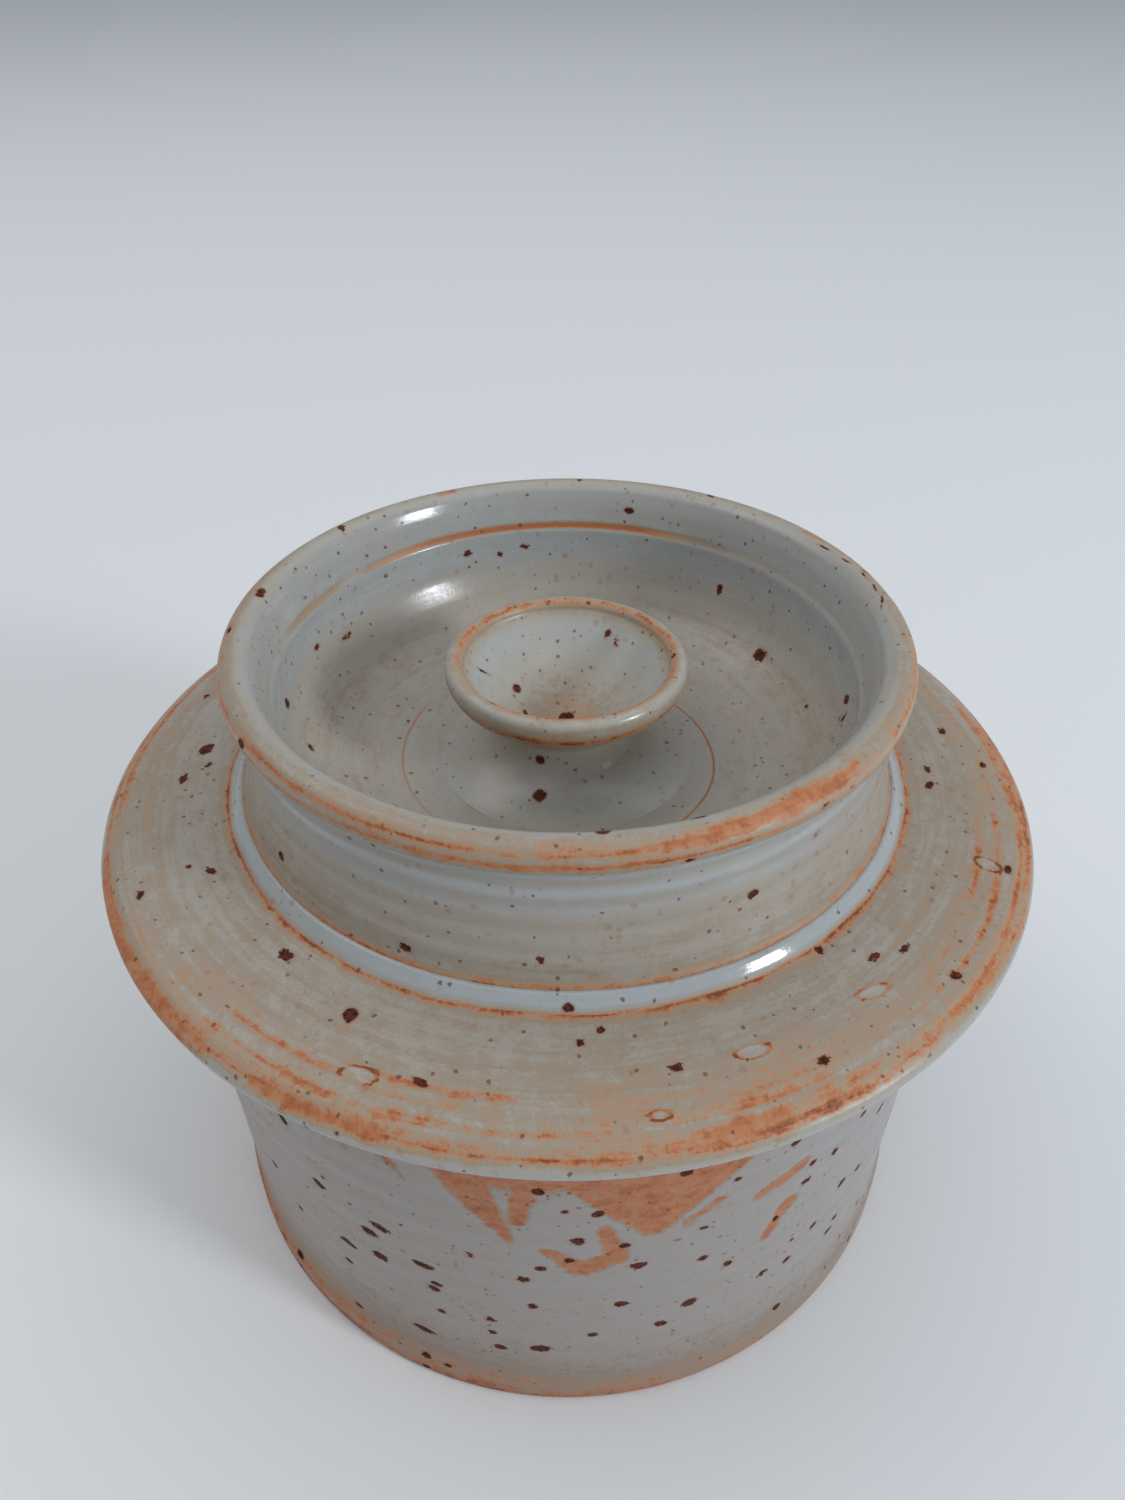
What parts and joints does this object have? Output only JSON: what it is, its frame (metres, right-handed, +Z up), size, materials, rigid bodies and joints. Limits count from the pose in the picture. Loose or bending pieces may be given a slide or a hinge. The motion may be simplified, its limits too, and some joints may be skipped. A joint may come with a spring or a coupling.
{
  "type": "food canister",
  "caption": "Round stoneware canister: a straight-sided jar under a loose hat-shaped lid with a wide brim, a raised crown with a rolled rim and a sunk trumpet knob.",
  "frame": {"origin": "on the jar's axis, in the plane that the jar stands on, with the lid closed", "axes": "+Z up along the axis of the jar and lid, which is also the way the lid lifts off; +X and +Y are level and interchangeable, because every member is turned about Z"},
  "size_m": [0.1346, 0.1346, 0.1024],
  "materials": {
    "jar_glaze": "semi-gloss cream-grey glaze with iron speckles, bare tan clay at the foot",
    "plate_glaze": "semi-gloss cream glaze that breaks rust-brown at the edge and the bead",
    "crown_glaze": "glossy cream glaze, blue-white where it pools, rust-brown on the roll",
    "knob_glaze": "glossy cream glaze with a rust-brown line on the lip",
    "collar_clay": "bare fired stoneware, matt"
  },
  "bodies": {
    "jar": {"jar_pot": "jar_glaze"},
    "lid": {"lid_plate": "plate_glaze", "lid_collar": "collar_clay", "lid_crown": "crown_glaze", "lid_knob": "knob_glaze"}
  },
  "joints": [
    {"name": "lid_lift", "type": "slide", "parent": "jar", "child": "lid", "axis": [0, 0, 1], "range_m": [0, 0.12]}
  ]
}
